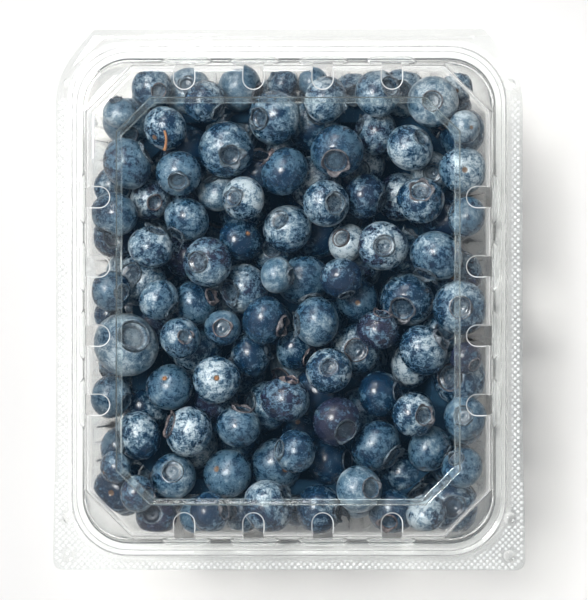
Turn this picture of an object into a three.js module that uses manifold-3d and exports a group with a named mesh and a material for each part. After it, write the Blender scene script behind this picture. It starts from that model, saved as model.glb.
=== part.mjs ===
// A clear clamshell punnet filled with blueberries.
//
// Frame: millimetres, +Z up, origin on the table under the middle of the punnet. +X is the punnet's
// right, -Y its front (the opening side) and +Y its back, where the lid is hinged.
//
// Five solids: the tray, a thermoformed sheet with a flange round its rim; the lid's flange with its
// bead, ledge and lugs, which turns on the fold line at the back; the lid's dome and the recessed
// panel in its middle, cut out of the same sheet so that each solid keeps a simple shape; and the
// heap of berries, a core with every berry that shows fused on to it.

import * as THREE from 'three';
import { mergeVertices } from 'three/addons/utils/BufferGeometryUtils.js';
import Module from 'manifold-3d';

const wasm = await Module();
wasm.setup();

// ---------------------------------------------------------------------------- driving dimensions

const SHEET = 0.45; // thickness of the formed sheet
const CLEARANCE = 0.3; // gap kept between pieces that touch
const CORNER_STEPS = 4; // straight pieces in each rounded corner

const RIM_Z = 44; // top face of the tray's flange
const FLANGE_Z = RIM_Z + CLEARANCE; // underside of the lid's flange
const LEDGE_Z = 46.1; // the lid's ledge, inside its rim bead
const STEP_Z = 50.4; // top of the lugs and of the crescent step in each corner of the lid
const DOME_Z = 50.9; // foot of the dome, cut off between the lugs and the vent slots
const BAND_Z = 62; // flat band round the top of the lid
const PANEL_Z = 59.3; // recessed panel in the middle of the lid
const PANEL_EDGE = 0.4; // how much of the band stays with the panel where the lid is cut

// Flange outline: straight sides that flare a little towards square front corners, and wide corners
// at the back, cut off at the ends of the fold.
const FLANGE = { side: 62.9, flare: 0.7, flareFrom: -28, front: 72.5, frontCorner: 3 };
const FOLD = { y: 73.2, half: 52.4, cornerFrom: 53 };

// Vent slots: four on each side of the lid, from its top band over the shoulder and down the wall,
// each with a lug pressed out of the wall at its foot.
const SLOTS = { count: 4, pitch: 18.3, width: 5.3, nearX: 47.3, nearY: 56.1 };
const LUG = { half: 7, taper: 1.2, depth: 1.5, slope: 0.3 };

// Upright flutes pressed out of the tray's walls, with ends that slope off.
const FLUTE = { pitch: 9.15, half: 2.3, taper: 1.6, depth: 0.3, slope: 8, foot: 6, head: 40 };
const FLUTES_LONG = 11;
const FLUTES_SHORT = 9;

// Snap buttons near the corners of the lid's flange, and a small pip in each front corner.
const BUTTON = { x: 59.3, y: 58.4, radius: 1.7, height: 1.5 };
const PIP = { x: 59.4, y: -68.7, radius: 1.5, height: 0.7 };

// Berries: diameters are spread evenly round the mean, and each is a little flatter than round.
const BERRY = { mean: 13.6, spread: 2.2, flatness: 0.88 };
// Facets round each berry and from pole to pole, and how far its corners stand out, as a share of
// the radius, so that its flat faces don't make it smaller than the real one.
const FACETS = { top: { around: 7, down: 5, grow: 1.07 }, rest: { around: 6, down: 4, grow: 1.1 } };
const TOP_FACETS_FROM = 47; // height of the centres of the berries that count as top ones
const HEAP_SEED = 4217;
const AXIS_SEED = 77;
const TRIES = 300; // places tried for a berry in each round
const REFINEMENTS = 3; // further rounds of tries, each closer round the best place so far
const GIVE_UP_AFTER = 40; // berries in a row that find no room
const PULL = 0.1; // preference for places near the front, as a height for each millimetre
const WALL_GAP = SHEET + CLEARANCE + 0.4; // from a wall's outer face to the berries
const ROOM_GAP = SHEET + CLEARANCE + 0.15; // the same to their corners, which stand out further
const CEILING_Z = PANEL_Z - SHEET - CLEARANCE - 0.2; // highest point of the heap
const TOP_LAYER_DEPTH = 22; // how far below the lid the top layers may start
const CORE_INSET = 3.2; // how far the core stands back from the outermost berries
const CORE_TOP_Z = 50;
const SMALLEST_DETAIL = 0.3; // slivers thinner than this are merged away where berries meet

// Berries that lie against the lid, from the highest to the lowest: x, y and diameter.
const TOP_BERRIES = [
  [-43.6, -11.7, 18.1],
  [-12.1, 27.4, 12.3],
  [-21.7, 10.4, 13.9],
  [10.0, 26.1, 13.3],
  [35.3, 26.9, 13.3],
  [25.2, 14.7, 13.9],
  [-29.4, 34.1, 12.8],
  [-26.8, -34.9, 14.4],
  [10.8, -18.6, 12.8],
  [-19.3, -21.0, 13.3],
  [12.9, -32.2, 13.9],
  [36.1, -13.1, 14.4],
  [-0.4, 19.4, 13.9],
  [-6.3, -5.1, 13.3],
  [33.4, -30.4, 12.3],
  [18.8, -50.3, 13.3],
  [-32.1, -23.2, 13.3],
  [-13.5, -33.6, 12.8],
  [1.7, -40.2, 12.3],
  [14.0, 6.1, 12.3],
  [-31.0, -47.1, 12.8],
  [-3.1, 6.9, 10.1],
  [-17.7, -7.2, 10.1],
  [23.8, 55.5, 13.3],
  [-13.2, 16.5, 12.3],
  [20.4, 28.2, 12.8],
  [15.6, 15.7, 10.7],
  [32.4, 40.9, 13.3],
  [-40.4, -36.2, 13.9],
  [37.7, -39.7, 13.3],
  [-36.9, 14.3, 12.8],
  [-10.3, -14.4, 12.3],
  [24.4, -25.0, 13.3],
  [-0.9, -26.4, 13.9],
];

// ------------------------------------------------------------------------------- materials

function clearPet() {
  return new THREE.MeshStandardMaterial({
    color: 0xe6efee,
    roughness: 0.08,
    metalness: 0,
    transparent: true,
    opacity: 0.25,
  });
}

function berrySkin() {
  return new THREE.MeshStandardMaterial({ color: 0x33475e, roughness: 0.45, metalness: 0 });
}

// ------------------------------------------------------------------------------- solids and meshes

// A closed geometry as a manifold-3d solid, with its shared vertices merged.
function solid(geometry) {
  const bare = geometry.clone();
  bare.deleteAttribute('normal');
  bare.deleteAttribute('uv');
  const merged = mergeVertices(bare, 1e-4);
  return new wasm.Manifold(
    new wasm.Mesh({
      numProp: 3,
      vertProperties: merged.attributes.position.array,
      triVerts: new Uint32Array(merged.index.array),
    }),
  );
}

// A manifold-3d solid as a named mesh.
function meshOf(name, body, material) {
  const { vertProperties, triVerts } = body.getMesh();
  const geometry = new THREE.BufferGeometry();
  geometry.setAttribute('position', new THREE.BufferAttribute(new Float32Array(vertProperties), 3));
  geometry.setIndex(new THREE.BufferAttribute(new Uint32Array(triVerts), 1));
  geometry.computeVertexNormals();
  const mesh = new THREE.Mesh(geometry, material);
  mesh.name = name;
  return mesh;
}

// ------------------------------------------------------------------------------- formed sheet

// One level of a formed sheet: a rectangle, 2x by 2y, whose corners cut off a leg along each side.
// A bulge of 0 makes a corner a straight chamfer, and 1 a quarter circle.
function level(x, y, z, leg, bulge) {
  return { x, y, z, leg, bulge };
}

// The level's outline, anticlockwise seen from above.
function ring({ x, y, z, leg, bulge }) {
  const points = [];
  const corners = [
    [1, 1],
    [-1, 1],
    [-1, -1],
    [1, -1],
  ];
  corners.forEach(([sx, sy]) => {
    for (let step = 0; step <= CORNER_STEPS; step++) {
      const share = sx === sy ? step / CORNER_STEPS : 1 - step / CORNER_STEPS;
      const turn = (share * Math.PI) / 2;
      const acrossX = bulge * Math.cos(turn) + (1 - bulge) * (1 - share);
      const acrossY = bulge * Math.sin(turn) + (1 - bulge) * share;
      points.push(new THREE.Vector3(sx * (x - leg + leg * acrossX), sy * (y - leg + leg * acrossY), z));
    }
  });
  return points;
}

// A level grown sideways, by the same amount all round.
function grownLevel({ x, y, z, leg, bulge }, grow) {
  const legChange = grow * (2 - Math.SQRT2 + (Math.SQRT2 - 1) * bulge);
  return level(x + grow, y + grow, z, leg + legChange, bulge);
}

// The other face of the sheet: every level moved by the thickness, square to the profile, to the
// right of the profile's direction (side 1) or to its left (side -1).
function offsetLevels(levels, side) {
  return levels.map((here, i) => {
    const before = levels[Math.max(i - 1, 0)];
    const after = levels[Math.min(i + 1, levels.length - 1)];
    const inward = new THREE.Vector2(here.x - before.x, here.z - before.z);
    const onward = new THREE.Vector2(after.x - here.x, after.z - here.z);
    if (inward.lengthSq() === 0) inward.copy(onward);
    if (onward.lengthSq() === 0) onward.copy(inward);
    inward.normalize();
    onward.normalize();
    const bisector = inward.clone().add(onward).normalize();
    const reach = (side * SHEET) / Math.max(bisector.dot(inward), 0.5);
    const dx = bisector.y * reach;
    const dz = -bisector.x * reach;
    return { ...grownLevel(here, dx), z: here.z + dz };
  });
}

// A sheet over a run of levels, from its outer lip to the innermost level, which is closed flat.
// side is 1 when the given levels are the sheet's lower face, and -1 when they are its upper face.
function sheetSolid(levels, side) {
  const faces = [levels, offsetLevels(levels, side)];
  const count = 4 * (CORNER_STEPS + 1);
  const points = faces.flatMap((face) => face.flatMap(ring));
  const index = [];
  const quad = (a, b, c, d) => index.push(a, b, c, a, c, d);
  faces.forEach((face, f) => {
    const start = f * levels.length * count;
    for (let i = 0; i + 1 < levels.length; i++) {
      for (let k = 0; k < count; k++) {
        const next = (k + 1) % count;
        const [a, b] = [start + i * count + k, start + i * count + next];
        if (f === 0) quad(a, b, b + count, a + count);
        else quad(a + count, b + count, b, a);
      }
    }
    const cap = start + (levels.length - 1) * count;
    for (let k = 1; k + 1 < count; k++) {
      if (f === 0) index.push(cap, cap + k, cap + k + 1);
      else index.push(cap, cap + k + 1, cap + k);
    }
  });
  const second = levels.length * count;
  for (let k = 0; k < count; k++) {
    const next = (k + 1) % count;
    quad(second + k, second + next, next, k);
  }
  if (side > 0) index.reverse();
  const geometry = new THREE.BufferGeometry().setFromPoints(points);
  geometry.setIndex(index);
  return solid(geometry);
}

// The convex block round a run of levels.
function blockOf(levels) {
  return wasm.Manifold.hull(levels.flatMap(ring).map((point) => point.toArray()));
}

// How far out a wall's outer face stands at a height, along x and y, between two of its levels.
function wallAt(z, foot, top) {
  const share = (z - foot.z) / (top.z - foot.z);
  return {
    x: foot.x + share * (top.x - foot.x),
    y: foot.y + share * (top.y - foot.y),
    leg: foot.leg + share * (top.leg - foot.leg),
  };
}

// ------------------------------------------------------------------------------- pressed ribs

// One rib's block on a wall. along is its place on the wall, and near and far are how far its inner
// and outer faces stand out of the wall. The outer face is smaller, by the rib's taper and slope, and
// shrink leaves a wall round a block that is cut away.
function ribBlock(wall, rib, side, along, near, far, shrink) {
  const points = [];
  [
    [near, rib.half - shrink, shrink],
    [far, rib.half - rib.taper - shrink, shrink + rib.slope],
  ].forEach(([stand, half, inset]) => {
    [rib.foot + inset, rib.head - inset].forEach((z) => {
      const at = wallAt(z, wall.foot, wall.top);
      const out = side % 2 === 0 ? at.x : at.y;
      [-half, half].forEach((offset) => {
        const point = new THREE.Vector3(out + stand, along + offset, z);
        point.applyAxisAngle(new THREE.Vector3(0, 0, 1), (side * Math.PI) / 2);
        points.push(point.toArray());
      });
    });
  });
  return wasm.Manifold.hull(points);
}

// Ribs pressed outwards from a wall: each is a block added on the outside and hollowed from within.
// counts gives the number of ribs on the sides that face x and on those that face y.
function pressRibs(sheet, wall, rib, counts) {
  const blocks = [];
  const hollows = [];
  for (let side = 0; side < 4; side++) {
    const count = counts[side % 2];
    for (let k = 0; k < count; k++) {
      const along = (k - (count - 1) / 2) * rib.pitch;
      blocks.push(ribBlock(wall, rib, side, along, -SHEET / 2, rib.depth, 0));
      hollows.push(ribBlock(wall, rib, side, along, -2 * SHEET, rib.depth - SHEET, SHEET));
    }
  }
  return sheet.add(wasm.Manifold.union(blocks)).subtract(wasm.Manifold.union(hollows));
}

// ------------------------------------------------------------------------------- flange

// The flange's outer outline, drawn anticlockwise from its front right corner.
function flangeOutline() {
  const { side, flare, flareFrom, front, frontCorner } = FLANGE;
  const wide = side + flare;
  const shape = new THREE.Shape();
  shape.moveTo(-wide + frontCorner, -front);
  shape.lineTo(wide - frontCorner, -front);
  shape.quadraticCurveTo(wide, -front, wide, -front + frontCorner);
  shape.bezierCurveTo(wide, -front + 18, side, flareFrom - 16, side, flareFrom);
  shape.lineTo(side, FOLD.cornerFrom);
  shape.bezierCurveTo(side, FOLD.cornerFrom + 9, FOLD.half + 5.5, FOLD.y - 6, FOLD.half, FOLD.y);
  shape.lineTo(-FOLD.half, FOLD.y);
  shape.bezierCurveTo(-FOLD.half - 5.5, FOLD.y - 6, -side, FOLD.cornerFrom + 9, -side, FOLD.cornerFrom);
  shape.lineTo(-side, flareFrom);
  shape.bezierCurveTo(-side, flareFrom - 16, -wide, -front + 18, -wide, -front + frontCorner);
  shape.quadraticCurveTo(-wide, -front, -wide + frontCorner, -front);
  return shape;
}

// A flat flange with its underside at z, and a hole the shape of a level.
function flangeSolid(z, hole) {
  const shape = flangeOutline();
  shape.holes.push(new THREE.Path(ring(hole).map((p) => new THREE.Vector2(p.x, p.y))));
  const options = { depth: SHEET, bevelEnabled: false, curveSegments: 4 };
  return solid(new THREE.ExtrudeGeometry(shape, options).translate(0, 0, z));
}

// ------------------------------------------------------------------------------- tray

// The tray's lower face, from the lip inside its flange, over the rim bead, down to the floor.
const TRAY_LEVELS = [
  level(59.4, 69.3, RIM_Z - SHEET, 15.4, 1),
  level(57.4, 67.3, RIM_Z - SHEET, 14.4, 1),
  level(57.0, 66.9, RIM_Z + 0.8, 14.0, 1),
  level(55.7, 65.6, RIM_Z + 0.8, 12.7, 1),
  level(55.3, 65.2, RIM_Z - 1, 12.3, 1),
  level(47.0, 56.6, 3.2, 9.6, 1),
  level(46.3, 55.9, 1, 9.4, 1),
  level(44.9, 54.5, 0, 8.8, 0.9),
  level(42.9, 52.5, 0, 8.6, 0.3),
  level(41.9, 51.5, 2.2, 8.4, 0.1),
  level(40.9, 50.5, 2.2, 8.0, 0.1),
];
const TRAY_WALL = { top: TRAY_LEVELS[4], foot: TRAY_LEVELS[5] };
const FLOOR_Z = TRAY_LEVELS.at(-1).z + SHEET;

function traySolid() {
  const bowl = sheetSolid(TRAY_LEVELS, 1);
  const flange = flangeSolid(RIM_Z - SHEET, level(58.4, 68.3, 0, 14.9, 1));
  return pressRibs(bowl.add(flange), TRAY_WALL, FLUTE, [FLUTES_LONG, FLUTES_SHORT]);
}

// ------------------------------------------------------------------------------- lid

// The lid's upper face, from the lip inside its flange, over the rim bead and the ledge, up the wall
// past the crescent steps in its corners, over the shoulder and down to the recessed panel.
const LID_LEVELS = [
  level(60.0, 70.1, FLANGE_Z + SHEET, 16.0, 1),
  level(58.9, 69.0, FLANGE_Z + SHEET, 15.6, 1),
  level(58.5, 68.6, LEDGE_Z + 0.5, 15.3, 1),
  level(57.7, 67.8, LEDGE_Z + 0.5, 14.6, 1),
  level(57.2, 67.2, LEDGE_Z, 14.0, 1),
  level(55.3, 64.6, LEDGE_Z, 12.3, 1),
  level(54.9, 64.0, STEP_Z - 0.1, 12.0, 1),
  level(54.8, 63.9, STEP_Z, 13.4, 0),
  level(53.5, 62.3, BAND_Z - 1.3, 12.0, 0),
  level(52.2, 61.0, BAND_Z, 11.2, 0),
  level(45.3, 53.7, BAND_Z, 8.9, 0),
  level(44.2, 52.6, PANEL_Z, 8.6, 0),
  level(43.2, 51.6, PANEL_Z, 8.0, 0),
];
const LID_STEP_WALL = { foot: LID_LEVELS[5], top: LID_LEVELS[6] };
const LID_WALL = { foot: LID_LEVELS[7], top: LID_LEVELS[8] };
const BAND_INNER = LID_LEVELS[10];

// A vent slot's cutter on the +X side: square at its outer end and round at its inner end.
function slotCutter() {
  const half = SLOTS.width / 2;
  const shape = new THREE.Shape();
  shape.moveTo(8.6, -half);
  shape.lineTo(8.6, half);
  shape.lineTo(half, half);
  shape.absarc(half, 0, half, Math.PI / 2, (3 * Math.PI) / 2, false);
  const options = { depth: BAND_Z - STEP_Z + 2, bevelEnabled: false, curveSegments: 4 };
  return new THREE.ExtrudeGeometry(shape, options).translate(0, 0, STEP_Z + 0.7);
}

function slotCutters() {
  const cutters = [];
  for (let side = 0; side < 4; side++) {
    for (let k = 0; k < SLOTS.count; k++) {
      const cutter = slotCutter();
      const along = (k - (SLOTS.count - 1) / 2) * SLOTS.pitch;
      cutter.translate(side % 2 === 0 ? SLOTS.nearX : SLOTS.nearY, along, 0);
      cutter.rotateZ((side * Math.PI) / 2);
      cutters.push(solid(cutter));
    }
  }
  return cutters;
}

// A low round button that stands on the flange.
function buttonSolid(x, y, radius, height) {
  const profile = [
    new THREE.Vector2(0, 0),
    new THREE.Vector2(radius, 0),
    new THREE.Vector2(radius * 0.65, height),
    new THREE.Vector2(0, height),
  ];
  const geometry = new THREE.LatheGeometry(profile, 8);
  geometry.rotateX(Math.PI / 2);
  geometry.translate(x, y, FLANGE_Z + SHEET / 2);
  return solid(geometry);
}

// A block across the whole lid, from its flange up to a height.
function flangeBlock(top) {
  const bottom = { ...grownLevel(LID_LEVELS[0], FOLD.y), z: RIM_Z };
  return blockOf([bottom, { ...bottom, z: top }]);
}

// A block round the recessed panel, grown sideways from the inner edge of the band.
function panelBlock(grow) {
  const edge = grownLevel(BAND_INNER, grow);
  return blockOf([STEP_Z, BAND_Z + 1].map((z) => ({ ...edge, z })));
}

function lidSolid() {
  const dome = sheetSolid(LID_LEVELS, -1);
  const flange = flangeSolid(FLANGE_Z, level(59.4, 69.5, 0, 15.8, 1));
  const buttons = [1, -1].flatMap((sx) => [
    buttonSolid(sx * BUTTON.x, BUTTON.y, BUTTON.radius, BUTTON.height),
    buttonSolid(sx * BUTTON.x, -BUTTON.y, BUTTON.radius, BUTTON.height),
    buttonSolid(sx * PIP.x, PIP.y, PIP.radius, PIP.height),
  ]);
  const lug = { ...LUG, pitch: SLOTS.pitch, foot: LEDGE_Z - SHEET / 2, head: STEP_Z };
  const body = wasm.Manifold.union([dome, flange, ...buttons]);
  const lugged = pressRibs(body, LID_STEP_WALL, lug, [SLOTS.count, SLOTS.count]);
  return lugged.subtract(wasm.Manifold.union(slotCutters()));
}

// ------------------------------------------------------------------------------- heap of berries

// Seeded random numbers from 0 to 1.
function randomFrom(seed) {
  let state = seed;
  return () => {
    state = (state * 1664525 + 1013904223) % 4294967296;
    return state / 4294967296;
  };
}

// The room for the berries at a height: half lengths and corner radius, clear of tray and lid.
function roomAt(z) {
  const wall = z < RIM_Z ? TRAY_WALL : LID_WALL;
  const at = wallAt(z, wall.foot, wall.top);
  return { x: at.x - WALL_GAP, y: at.y - WALL_GAP, corner: at.leg - WALL_GAP };
}

// How far a point lies outside the room's outline at its height; negative inside.
function outside(x, y, z) {
  const room = roomAt(z);
  const qx = Math.abs(x) - (room.x - room.corner);
  const qy = Math.abs(y) - (room.y - room.corner);
  const past = Math.sqrt(Math.max(qx, 0) ** 2 + Math.max(qy, 0) ** 2);
  return past + Math.min(Math.max(qx, qy), 0) - room.corner;
}

// The lowest height at which a berry fits between the walls, or null where it never does.
function lowestInWalls(x, y, r) {
  let low = FLOOR_Z + CLEARANCE + r;
  let high = RIM_Z - 1;
  if (outside(x, y, low) <= -r) return low;
  if (outside(x, y, high) > -r) return null;
  for (let i = 0; i < 16; i++) {
    const middle = (low + high) / 2;
    if (outside(x, y, middle) > -r) low = middle;
    else high = middle;
  }
  return high;
}

// Whether a berry reaches the crescent steps or the chamfered walls in the lid's corners.
function hitsChamfer(x, y, z, r) {
  const room = LID_WALL.top.x + LID_WALL.top.y - LID_WALL.top.leg - Math.SQRT2 * (r + WALL_GAP);
  return z + r > STEP_Z - WALL_GAP && Math.abs(x) + Math.abs(y) > room;
}

// How far above or below a berry's centre another one's centre is where they touch, or null where
// the two pass side by side.
function stackOffset(x, y, r, berry) {
  const room = (r + berry.r) ** 2 - (x - berry.x) ** 2 - (y - berry.y) ** 2;
  return room > 0 ? Math.sqrt(room) : null;
}

// The highest place under the lid that the berries already there leave free, or null where that is
// too far below the lid or in a wall.
function hangHeight(x, y, r, placed) {
  let z = CEILING_Z - r;
  placed.forEach((berry) => {
    const offset = stackOffset(x, y, r, berry);
    if (offset !== null) z = Math.min(z, berry.z - offset);
  });
  if (z < CEILING_Z - r - TOP_LAYER_DEPTH) return null;
  return outside(x, y, z) > -r || hitsChamfer(x, y, z, r) ? null : z;
}

// Where a berry comes to rest on the walls, the floor and the loose berries already there, or null
// where that is inside one of the berries under the lid.
function restHeight(x, y, r, top, loose) {
  let z = lowestInWalls(x, y, r);
  if (z === null) return null;
  loose.forEach((berry) => {
    const offset = stackOffset(x, y, r, berry);
    if (offset !== null) z = Math.max(z, berry.z + offset);
  });
  if (z > CEILING_Z - r || hitsChamfer(x, y, z, r)) return null;
  const blocked = top.some((berry) => {
    const offset = stackOffset(x, y, r, berry);
    return offset !== null && z > berry.z - offset;
  });
  return blocked ? null : z;
}

// The best of the places tried for a berry: the one whose cost is least. The first tries are spread
// over the whole punnet, and each further round lies closer round the best place so far.
function findPlace(random, r, heightAt, cost) {
  let best = null;
  let centre = { x: 0, y: 0 };
  let reach = { x: TRAY_WALL.top.x, y: TRAY_WALL.top.y };
  for (let round = 0; round <= REFINEMENTS; round++) {
    for (let t = 0; t < TRIES; t++) {
      const x = centre.x + reach.x * (2 * random() - 1);
      const y = centre.y + reach.y * (2 * random() - 1);
      const z = heightAt(x, y, r);
      if (z !== null && (best === null || cost(y, z) < cost(best.y, best.z))) best = { x, y, z, r };
    }
    if (best === null) return null;
    centre = best;
    reach = { x: r / 2 ** round, y: r / 2 ** round };
  }
  return best;
}

// Berries added one after another until a number of them in a row find no room.
function addBerries(random, placed, heightAt, cost) {
  let misses = 0;
  while (misses < GIVE_UP_AFTER) {
    const r = (BERRY.mean + BERRY.spread * (2 * random() - 1)) / 2;
    const place = findPlace(random, r, heightAt, cost);
    if (place) placed.push(place);
    misses = place ? 0 : misses + 1;
  }
}

// All the berries: the layer under the lid, each berry as high as the others let it, then the rest
// from the floor up, each at rest in the lowest place found for it.
function fillPunnet() {
  const random = randomFrom(HEAP_SEED);
  const top = [];
  TOP_BERRIES.forEach(([x, y, diameter]) => {
    const r = diameter / 2;
    top.push({ x, y, z: hangHeight(x, y, r, top), r });
  });
  addBerries(random, top, (x, y, r) => hangHeight(x, y, r, top), (y, z) => PULL * y - z);
  const loose = [];
  addBerries(random, loose, (x, y, r) => restHeight(x, y, r, top, loose), (y, z) => PULL * y + z);
  return [...top, ...loose];
}

// A berry with few sides, flattened along its own axis from stem to crown.
function berrySolid({ x, y, z, r }, random) {
  const axis = new THREE.Vector3(random() - 0.5, random() - 0.5, random() - 0.5).normalize();
  const { around, down, grow } = z > TOP_FACETS_FROM ? FACETS.top : FACETS.rest;
  const geometry = new THREE.SphereGeometry(r * grow, around, down);
  geometry.scale(1, BERRY.flatness, 1);
  geometry.applyQuaternion(new THREE.Quaternion().setFromUnitVectors(new THREE.Vector3(0, 1, 0), axis));
  geometry.translate(x, y, z);
  return solid(geometry);
}

// The dark inside of the heap, a block that stands back from the tray.
function coreSolid() {
  return blockOf(
    [FLOOR_Z + CORE_INSET, CORE_TOP_Z].map((z) => {
      const room = roomAt(z);
      return level(room.x - CORE_INSET, room.y - CORE_INSET, z, room.corner, 0);
    }),
  );
}

// The room inside tray and lid as a block, just clear of their walls.
function roomBlock() {
  const walls = [TRAY_WALL.foot, TRAY_WALL.foot, TRAY_WALL.top, LID_WALL.foot, LID_WALL.top];
  const levels = walls.map((wall) => grownLevel(wall, -ROOM_GAP));
  levels[0].z = FLOOR_Z + CLEARANCE;
  levels.at(-1).z = CEILING_Z;
  return blockOf(levels);
}

// Core and berries fused, without the pockets they seal and the scraps that touch nothing.
function heapSolid() {
  const random = randomFrom(AXIS_SEED);
  const berries = fillPunnet().map((berry) => berrySolid(berry, random));
  const parts = wasm.Manifold.union([coreSolid(), ...berries]).intersect(roomBlock()).decompose();
  return parts.reduce((a, b) => (a.volume() > b.volume() ? a : b)).simplify(SMALLEST_DETAIL);
}

const wholeLid = lidSolid();
const rimOff = wholeLid.subtract(flangeBlock(DOME_Z));
const punnet = new THREE.Group();
punnet.add(meshOf('tray', traySolid(), clearPet()));
punnet.add(meshOf('berries', heapSolid(), berrySkin()));
punnet.add(meshOf('lid', wholeLid.intersect(flangeBlock(DOME_Z - CLEARANCE)), clearPet()));
punnet.add(meshOf('lid_dome', rimOff.subtract(panelBlock(PANEL_EDGE + CLEARANCE)), clearPet()));
punnet.add(meshOf('lid_panel', wholeLid.intersect(panelBlock(PANEL_EDGE)), clearPet()));
export default punnet;
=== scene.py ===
"""Looks for the punnet of blueberries: clear pack, real berries, light and camera.

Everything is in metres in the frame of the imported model: +Z up, +X the punnet's right, +Y its hinged
back, and the origin on the table under its middle. The pack's sheets and the heap are rebuilt here
from the same driving dimensions as the solids that they replace.
"""

import math

import bmesh
import bpy
import numpy as np
from mathutils import Matrix, Vector


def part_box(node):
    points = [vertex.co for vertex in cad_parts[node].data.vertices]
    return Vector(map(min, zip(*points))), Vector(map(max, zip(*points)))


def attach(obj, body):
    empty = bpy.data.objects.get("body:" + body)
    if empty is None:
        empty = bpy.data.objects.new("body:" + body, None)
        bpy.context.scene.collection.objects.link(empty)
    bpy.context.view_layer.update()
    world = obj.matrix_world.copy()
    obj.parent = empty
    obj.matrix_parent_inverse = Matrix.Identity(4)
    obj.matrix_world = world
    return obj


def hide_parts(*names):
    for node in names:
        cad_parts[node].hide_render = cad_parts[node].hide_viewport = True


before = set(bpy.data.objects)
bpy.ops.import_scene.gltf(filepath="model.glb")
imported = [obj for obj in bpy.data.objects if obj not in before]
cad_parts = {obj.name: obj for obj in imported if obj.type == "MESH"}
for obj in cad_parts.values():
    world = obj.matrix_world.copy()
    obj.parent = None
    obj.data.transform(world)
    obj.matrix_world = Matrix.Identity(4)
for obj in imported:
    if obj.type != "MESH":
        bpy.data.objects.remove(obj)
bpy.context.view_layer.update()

# ------------ driving dimensions

MM = 0.001
SHEET = 0.45 * MM
CLEARANCE = 0.3 * MM
FLANGE_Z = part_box("lid")[0].z  # underside of the lid's flange
RIM_Z = FLANGE_Z - CLEARANCE  # top face of the tray's flange
BAND_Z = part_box("lid_dome")[1].z  # flat band round the top of the lid
LEDGE_Z = RIM_Z + 2.1 * MM  # the lid's ledge, inside its rim bead
STEP_Z = RIM_Z + 6.4 * MM  # top of the lugs and of the crescent steps in the lid's corners
PANEL_Z = BAND_Z - 2.7 * MM  # recessed panel
CORNER_STEPS = 12
SHARP_BEND = 0.35 * MM
SOFT_BEND = 1.2 * MM
PANEL_BEND = 0.4 * MM
CREASE_REACH = 0.2 * MM
OVERLAP = 0.05 * MM  # how far a cutter passes through a face
FOOT = 0.1 * MM  # how far what is added reaches into what it stands on

FLANGE_HALF = 62.9 * MM
FLANGE_FLARE = 0.7 * MM
FLARE_FROM = -28 * MM
FLANGE_FRONT = 72.5 * MM
FRONT_CORNER = 3 * MM
FOLD_Y = 73.2 * MM
FOLD_HALF = 52.4 * MM
FOLD_CORNER = 53 * MM
FLARE_PULL = (18 * MM, 16 * MM)  # handles of the curves that lead to the flare and to the fold
FOLD_PULL = (9 * MM, 5.5 * MM, 6 * MM)

SLOT_COUNTS = (4, 4)  # on the right and left sides, and on the back and front
SLOT_PITCH = 18.3 * MM
SLOT_WIDTH = 5.3 * MM
SLOT_REACH = 8.6 * MM
SLOT_EDGE = 0.35 * MM
# The frosted rim of each slot is partly real frost and partly a painted glint along its cut edge.
SLOT_RIM = (-0.1 * MM, SLOT_EDGE + 0.05 * MM)  # from and to how far out of its outline it is frosted
SLOT_NEAR = (47.3 * MM, 56.1 * MM)
LUG = {"half": 7 * MM, "depth": 1.5 * MM, "fullness": 8, "slope": 0.3 * MM}
FLUTE = {"half": 2.3 * MM, "depth": 0.3 * MM, "fullness": 2, "slope": 8 * MM}
FLUTE_PITCH = 9.15 * MM
FLUTE_COUNTS = (11, 9)
FLUTE_SPAN = (6 * MM, 40 * MM)

BUTTON = {"x": 59.3 * MM, "y": 58.4 * MM, "radius": 1.7 * MM, "height": 1.5 * MM}
PIP = {"x": 59.4 * MM, "y": -68.7 * MM, "radius": 1.5 * MM, "height": 0.7 * MM}
FOLD_RIDGE = {"y": 71 * MM, "reach": 50 * MM, "half": 0.45 * MM, "height": 0.35 * MM}
KNURL_END = 55 * MM  # the dots stop here, towards the back
KNURL_MARGIN = 0.15 * MM
DOT = {"radius": 0.46 * MM, "height": 0.16 * MM, "pitch": 1.67 * MM, "row": 0.835 * MM}

# ------------ meshes


def new_object(name, data):
    made = bpy.data.objects.new(name, data)
    bpy.context.scene.collection.objects.link(made)
    return made


def mesh_object(name, points, faces):
    mesh = bpy.data.meshes.new(name)
    mesh.from_pydata([tuple(p) for p in points], [], faces)
    mesh.update()
    return new_object(name, mesh)


def turns(count):
    """Equal steps round a circle, in radians."""
    return 2 * math.pi * np.arange(count) / count


def circle(radius, phi, z):
    """Points round the Z axis, at their radii, angles and heights."""
    return np.stack(np.broadcast_arrays(radius * np.cos(phi), radius * np.sin(phi), z), -1)


def fan(middle, first, count):
    """Triangles from one vertex to a ring of them, which is given by the number of its first."""
    return [(middle, first + k, first + (k + 1) % count) for k in range(count)]


def band(here, there, count):
    """Quads between two rings of vertices, each given by the number of its first."""
    steps = zip(range(count), [*range(1, count), 0])
    return [(here + k, there + k, there + after, here + after) for k, after in steps]


def bands(first, rings, count):
    """Quads between each ring of vertices and the next."""
    starts = range(first, first + (rings - 1) * count, count)
    return [quad for start in starts for quad in band(start, start + count, count)]


def flipped(faces):
    """The faces turned over, each from the same first vertex."""
    return [face[:1] + face[:0:-1] for face in faces]


def closed_faces(rings, count):
    """Faces over a first vertex, rings of vertices that follow it downwards, and a last vertex."""
    last = 1 + (rings - 1) * count
    ends = fan(0, 1, count) + flipped(fan(last + count, last, count))
    return ends + bands(1, rings, count)


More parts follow.
